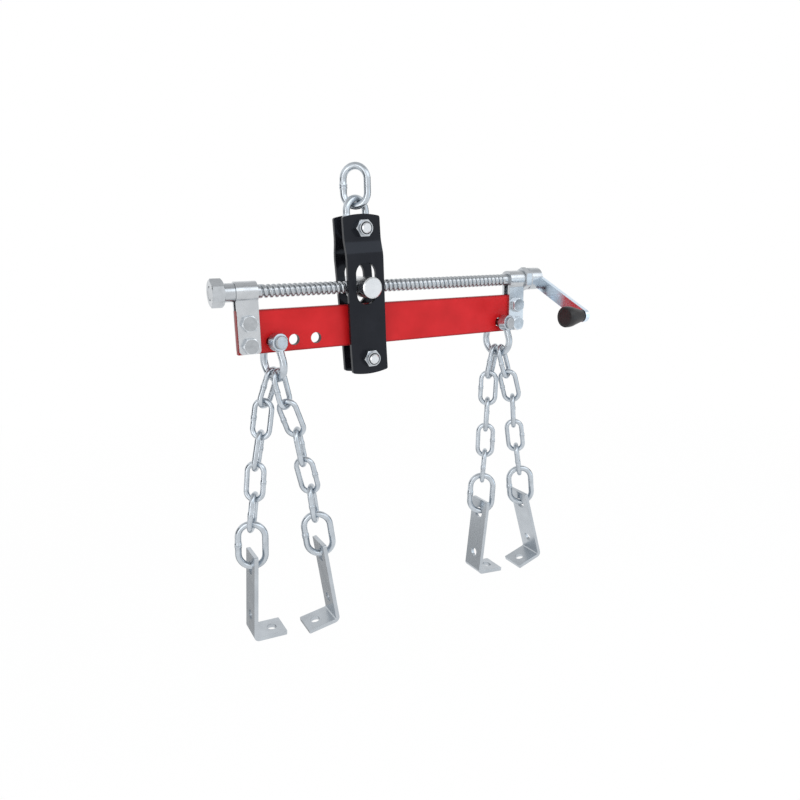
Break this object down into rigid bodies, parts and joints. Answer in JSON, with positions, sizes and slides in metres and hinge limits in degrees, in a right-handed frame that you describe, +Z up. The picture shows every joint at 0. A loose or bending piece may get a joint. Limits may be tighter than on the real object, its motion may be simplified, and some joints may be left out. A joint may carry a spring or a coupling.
{
  "type": "engine load leveler",
  "caption": "Flat beam hung from a ring by a slotted carriage; a crank screw shifts the beam under the ring, and chains with angle brackets hang from shackles at both ends.",
  "frame": {"origin": "inside crown of the lifting ring, where the hook bears", "axes": "+X along the beam towards the crank, -Y to the front, where the crank arm points, +Z up"},
  "size_m": [0.4689, 0.1468, 0.5819],
  "materials": {
    "red_paint": "semi-gloss red paint",
    "black_paint": "semi-gloss black paint",
    "zinc": "bright zinc plating",
    "black_plastic": "matte black plastic",
    "insert_nylon": "dark nylon"
  },
  "bodies": {
    "lifting_ring": {"lifting_ring": "zinc"},
    "eye_link": {"eye_link": "zinc"},
    "carriage": {"front_side_plate": "black_paint", "rear_side_plate": "black_paint", "top_bolt": "zinc", "bottom_bolt": "zinc", "lock_nuts": "zinc", "lock_nut_inserts": "insert_nylon"},
    "bottom_roller": {"bottom_roller": "zinc"},
    "travelling_nut": {"travelling_nut": "zinc"},
    "beam": {"beam": "red_paint", "left_clamp_strap": "zinc", "right_clamp_strap": "zinc", "clamp_bolts": "zinc", "clamp_nuts": "zinc"},
    "screw_and_crank": {"lead_screw": "zinc", "end_nut": "zinc", "spacer_sleeve": "zinc", "jam_nut": "zinc", "crank_hub": "zinc", "crank_roll_pin": "zinc", "crank_arm": "zinc", "grip_spindle": "zinc"},
    "crank_grip": {"crank_grip": "black_plastic"},
    "left_shackle": {"left_shackle_bow": "zinc", "left_shackle_pin": "zinc"},
    "right_shackle": {"right_shackle_bow": "zinc", "right_shackle_pin": "zinc"},
    "left_outer_link_1": {"left_outer_link_1": "zinc"},
    "left_outer_link_2": {"left_outer_link_2": "zinc"},
    "left_outer_link_3": {"left_outer_link_3": "zinc"},
    "left_outer_link_4": {"left_outer_link_4": "zinc"},
    "left_outer_link_5": {"left_outer_link_5": "zinc"},
    "left_outer_ring": {"left_outer_ring": "zinc"},
    "left_outer_bracket": {"left_outer_bracket": "zinc"},
    "left_inner_link_1": {"left_inner_link_1": "zinc"},
    "left_inner_link_2": {"left_inner_link_2": "zinc"},
    "left_inner_link_3": {"left_inner_link_3": "zinc"},
    "left_inner_link_4": {"left_inner_link_4": "zinc"},
    "left_inner_link_5": {"left_inner_link_5": "zinc"},
    "left_inner_ring": {"left_inner_ring": "zinc"},
    "left_inner_bracket": {"left_inner_bracket": "zinc"},
    "right_inner_link_1": {"right_inner_link_1": "zinc"},
    "right_inner_link_2": {"right_inner_link_2": "zinc"},
    "right_inner_link_3": {"right_inner_link_3": "zinc"},
    "right_inner_link_4": {"right_inner_link_4": "zinc"},
    "right_inner_link_5": {"right_inner_link_5": "zinc"},
    "right_inner_ring": {"right_inner_ring": "zinc"},
    "right_inner_bracket": {"right_inner_bracket": "zinc"},
    "right_outer_link_1": {"right_outer_link_1": "zinc"},
    "right_outer_link_2": {"right_outer_link_2": "zinc"},
    "right_outer_link_3": {"right_outer_link_3": "zinc"},
    "right_outer_link_4": {"right_outer_link_4": "zinc"},
    "right_outer_link_5": {"right_outer_link_5": "zinc"},
    "right_outer_ring": {"right_outer_ring": "zinc"},
    "right_outer_bracket": {"right_outer_bracket": "zinc"}
  },
  "joints": [
    {"name": "eye_swing", "type": "hinge", "parent": "lifting_ring", "child": "eye_link", "pos_m": [0, 0, -0.04125], "axis": [0.682, -0.7314, 0], "range_deg": [-30, 30]},
    {"name": "carriage_swing", "type": "hinge", "parent": "eye_link", "child": "carriage", "pos_m": [0, 0, -0.0673], "axis": [0, 1, 0], "range_deg": [-20, 20]},
    {"name": "roller_spin", "type": "hinge", "parent": "carriage", "child": "bottom_roller", "pos_m": [0.0065, 0, -0.22246], "axis": [0, 1, 0], "continuous": true},
    {"name": "beam_tilt", "type": "hinge", "parent": "carriage", "child": "travelling_nut", "pos_m": [0.00288, 0, -0.13604], "axis": [0, 1, 0], "range_deg": [-3.1, 3.1]},
    {"name": "beam_travel", "type": "slide", "parent": "travelling_nut", "child": "beam", "axis": [1, 0, 0], "range_m": [-0.1601, 0.0513]},
    {"name": "screw_spin", "type": "hinge", "parent": "beam", "child": "screw_and_crank", "pos_m": [0, 0, -0.13604], "axis": [1, 0, 0], "range_deg": [-9000, 2880]},
    {"name": "grip_spin", "type": "hinge", "parent": "screw_and_crank", "child": "crank_grip", "pos_m": [0, -0.09828, -0.18083], "axis": [1, 0, 0], "continuous": true},
    {"name": "left_shackle_swing", "type": "hinge", "parent": "beam", "child": "left_shackle", "pos_m": [-0.11442, 0, -0.19354], "axis": [-0.2756, 0.9613, 0], "range_deg": [-25, 25]},
    {"name": "right_shackle_swing", "type": "hinge", "parent": "beam", "child": "right_shackle", "pos_m": [0.21378, 0, -0.19354], "axis": [-0.2756, 0.9613, 0], "range_deg": [-25, 25]},
    {"name": "left_outer_link_1_swing", "type": "hinge", "parent": "left_shackle", "child": "left_outer_link_1", "pos_m": [-0.11222, 0.00646, -0.23807], "axis": [-0.2881, 0.9161, 0.2789], "range_deg": [-3, 18]},
    {"name": "left_outer_link_2_swing", "type": "hinge", "parent": "left_outer_link_1", "child": "left_outer_link_2", "pos_m": [-0.12676, 0.00646, -0.27085], "axis": [0.7357, 0.6157, -0.2824], "range_deg": [-4, 18]},
    {"name": "left_outer_link_3_swing", "type": "hinge", "parent": "left_outer_link_2", "child": "left_outer_link_3", "pos_m": [-0.13287, 0.00646, -0.30926], "axis": [0.776, -0.6157, -0.1368], "range_deg": [-20, 20]},
    {"name": "left_outer_link_4_swing", "type": "hinge", "parent": "left_outer_link_3", "child": "left_outer_link_4", "pos_m": [-0.14106, 0.00646, -0.34723], "axis": [-0.5183, -0.848, 0.1102], "range_deg": [-20, 12]},
    {"name": "left_outer_link_5_swing", "type": "hinge", "parent": "left_outer_link_4", "child": "left_outer_link_5", "pos_m": [-0.1455, 0.00646, -0.38584], "axis": [-0.7821, 0.6157, 0.096], "range_deg": [-20, 20]},
    {"name": "left_outer_ring_swing", "type": "hinge", "parent": "left_outer_link_5", "child": "left_outer_ring", "pos_m": [-0.1517, 0.00646, -0.42419], "axis": [0.5234, 0.848, -0.0829], "range_deg": [-18, 20]},
    {"name": "left_outer_bracket_swing", "type": "hinge", "parent": "left_outer_ring", "child": "left_outer_bracket", "pos_m": [-0.15381, 0.00646, -0.47206], "axis": [0.9123, -0.4067, -0.0478], "range_deg": [-20, 20]},
    {"name": "left_inner_link_1_swing", "type": "hinge", "parent": "left_shackle", "child": "left_inner_link_1", "pos_m": [-0.10913, -0.00431, -0.23807], "axis": [-0.2412, 0.9295, -0.2789], "range_deg": [-18, 3]},
    {"name": "left_inner_link_2_swing", "type": "hinge", "parent": "left_inner_link_1", "child": "left_inner_link_2", "pos_m": [-0.10137, -0.00431, -0.27293], "axis": [0.7735, 0.6157, 0.1504], "range_deg": [-20, 6]},
    {"name": "left_inner_link_3_swing", "type": "hinge", "parent": "left_inner_link_2", "child": "left_inner_link_3", "pos_m": [-0.08897, -0.00431, -0.30976], "axis": [0.7494, -0.6157, 0.2435], "range_deg": [-20, 20]},
    {"name": "left_inner_link_4_swing", "type": "hinge", "parent": "left_inner_link_3", "child": "left_inner_link_4", "pos_m": [-0.08342, -0.00431, -0.34823], "axis": [-0.5234, -0.848, -0.0829], "range_deg": [-3, 20]},
    {"name": "left_inner_link_5_swing", "type": "hinge", "parent": "left_inner_link_4", "child": "left_inner_link_5", "pos_m": [-0.07516, -0.00431, -0.3862], "axis": [-0.7708, 0.6157, -0.1638], "range_deg": [-20, 20]},
    {"name": "left_inner_ring_swing", "type": "hinge", "parent": "left_inner_link_5", "child": "left_inner_ring", "pos_m": [-0.07109, -0.00431, -0.42485], "axis": [0.5265, 0.848, 0.06], "range_deg": [-20, 10]},
    {"name": "left_inner_bracket_swing", "type": "hinge", "parent": "left_inner_ring", "child": "left_inner_bracket", "pos_m": [-0.06576, -0.00431, -0.47245], "axis": [0.9079, -0.4067, 0.1018], "range_deg": [-20, 20]},
    {"name": "right_inner_link_1_swing", "type": "hinge", "parent": "right_shackle", "child": "right_inner_link_1", "pos_m": [0.21449, 0.00603, -0.23818], "axis": [-0.2787, 0.9188, 0.2796], "range_deg": [-3, 18]},
    {"name": "right_inner_link_2_swing", "type": "hinge", "parent": "right_inner_link_1", "child": "right_inner_link_2", "pos_m": [0.20466, 0.00603, -0.27255], "axis": [0.8044, 0.5592, -0.2006], "range_deg": [-6, 18]},
    {"name": "right_inner_link_3_swing", "type": "hinge", "parent": "right_inner_link_2", "child": "right_inner_link_3", "pos_m": [0.20328, 0.00603, -0.31141], "axis": [0.765, -0.6428, -0.0401], "range_deg": [-20, 20]},
    {"name": "right_inner_link_4_swing", "type": "hinge", "parent": "right_inner_link_3", "child": "right_inner_link_4", "pos_m": [0.20124, 0.00603, -0.35021], "axis": [-0.6419, -0.766, 0.0336], "range_deg": [-20, 8]},
    {"name": "right_inner_link_5_swing", "type": "hinge", "parent": "right_inner_link_4", "child": "right_inner_link_5", "pos_m": [0.19995, 0.00603, -0.38903], "axis": [-0.7656, 0.6428, 0.0267], "range_deg": [-20, 20]},
    {"name": "right_inner_ring_swing", "type": "hinge", "parent": "right_inner_link_5", "child": "right_inner_ring", "pos_m": [0.19638, 0.00603, -0.42772], "axis": [0.6403, 0.766, -0.056], "range_deg": [-10, 20]},
    {"name": "right_inner_bracket_swing", "type": "hinge", "parent": "right_inner_ring", "child": "right_inner_bracket", "pos_m": [0.19311, 0.00603, -0.47551], "axis": [0.8808, -0.4695, -0.0616], "range_deg": [-20, 20]},
    {"name": "right_outer_link_1_swing", "type": "hinge", "parent": "right_shackle", "child": "right_outer_link_1", "pos_m": [0.21757, -0.00474, -0.23818], "axis": [-0.2505, 0.9269, -0.2796], "range_deg": [-18, 3]},
    {"name": "right_outer_link_2_swing", "type": "hinge", "parent": "right_outer_link_1", "child": "right_outer_link_2", "pos_m": [0.23012, -0.00474, -0.27172], "axis": [0.7885, 0.5592, 0.2562], "range_deg": [-20, 6]},
    {"name": "right_outer_link_3_swing", "type": "hinge", "parent": "right_outer_link_2", "child": "right_outer_link_3", "pos_m": [0.24142, -0.00474, -0.30889], "axis": [0.7326, -0.6428, 0.224], "range_deg": [-20, 20]},
    {"name": "right_outer_link_4_swing", "type": "hinge", "parent": "right_outer_link_3", "child": "right_outer_link_4", "pos_m": [0.2441, -0.00474, -0.34769], "axis": [-0.6403, -0.766, -0.056], "range_deg": [-8, 20]},
    {"name": "right_outer_link_5_swing", "type": "hinge", "parent": "right_outer_link_4", "child": "right_outer_link_5", "pos_m": [0.25042, -0.00474, -0.38603], "axis": [-0.7566, 0.6428, -0.1198], "range_deg": [-20, 20]},
    {"name": "right_outer_ring_swing", "type": "hinge", "parent": "right_outer_link_5", "child": "right_outer_ring", "pos_m": [0.25795, -0.00474, -0.42414], "axis": [0.631, 0.766, 0.1226], "range_deg": [-20, 10]},
    {"name": "right_outer_bracket_swing", "type": "hinge", "parent": "right_outer_ring", "child": "right_outer_bracket", "pos_m": [0.26262, -0.00474, -0.47182], "axis": [0.8781, -0.4695, 0.0923], "range_deg": [-20, 20]}
  ],
  "couplings": [
    {"joint": "beam_travel", "follows": "screw_spin", "m_per_rad": 0.0010186}
  ]
}
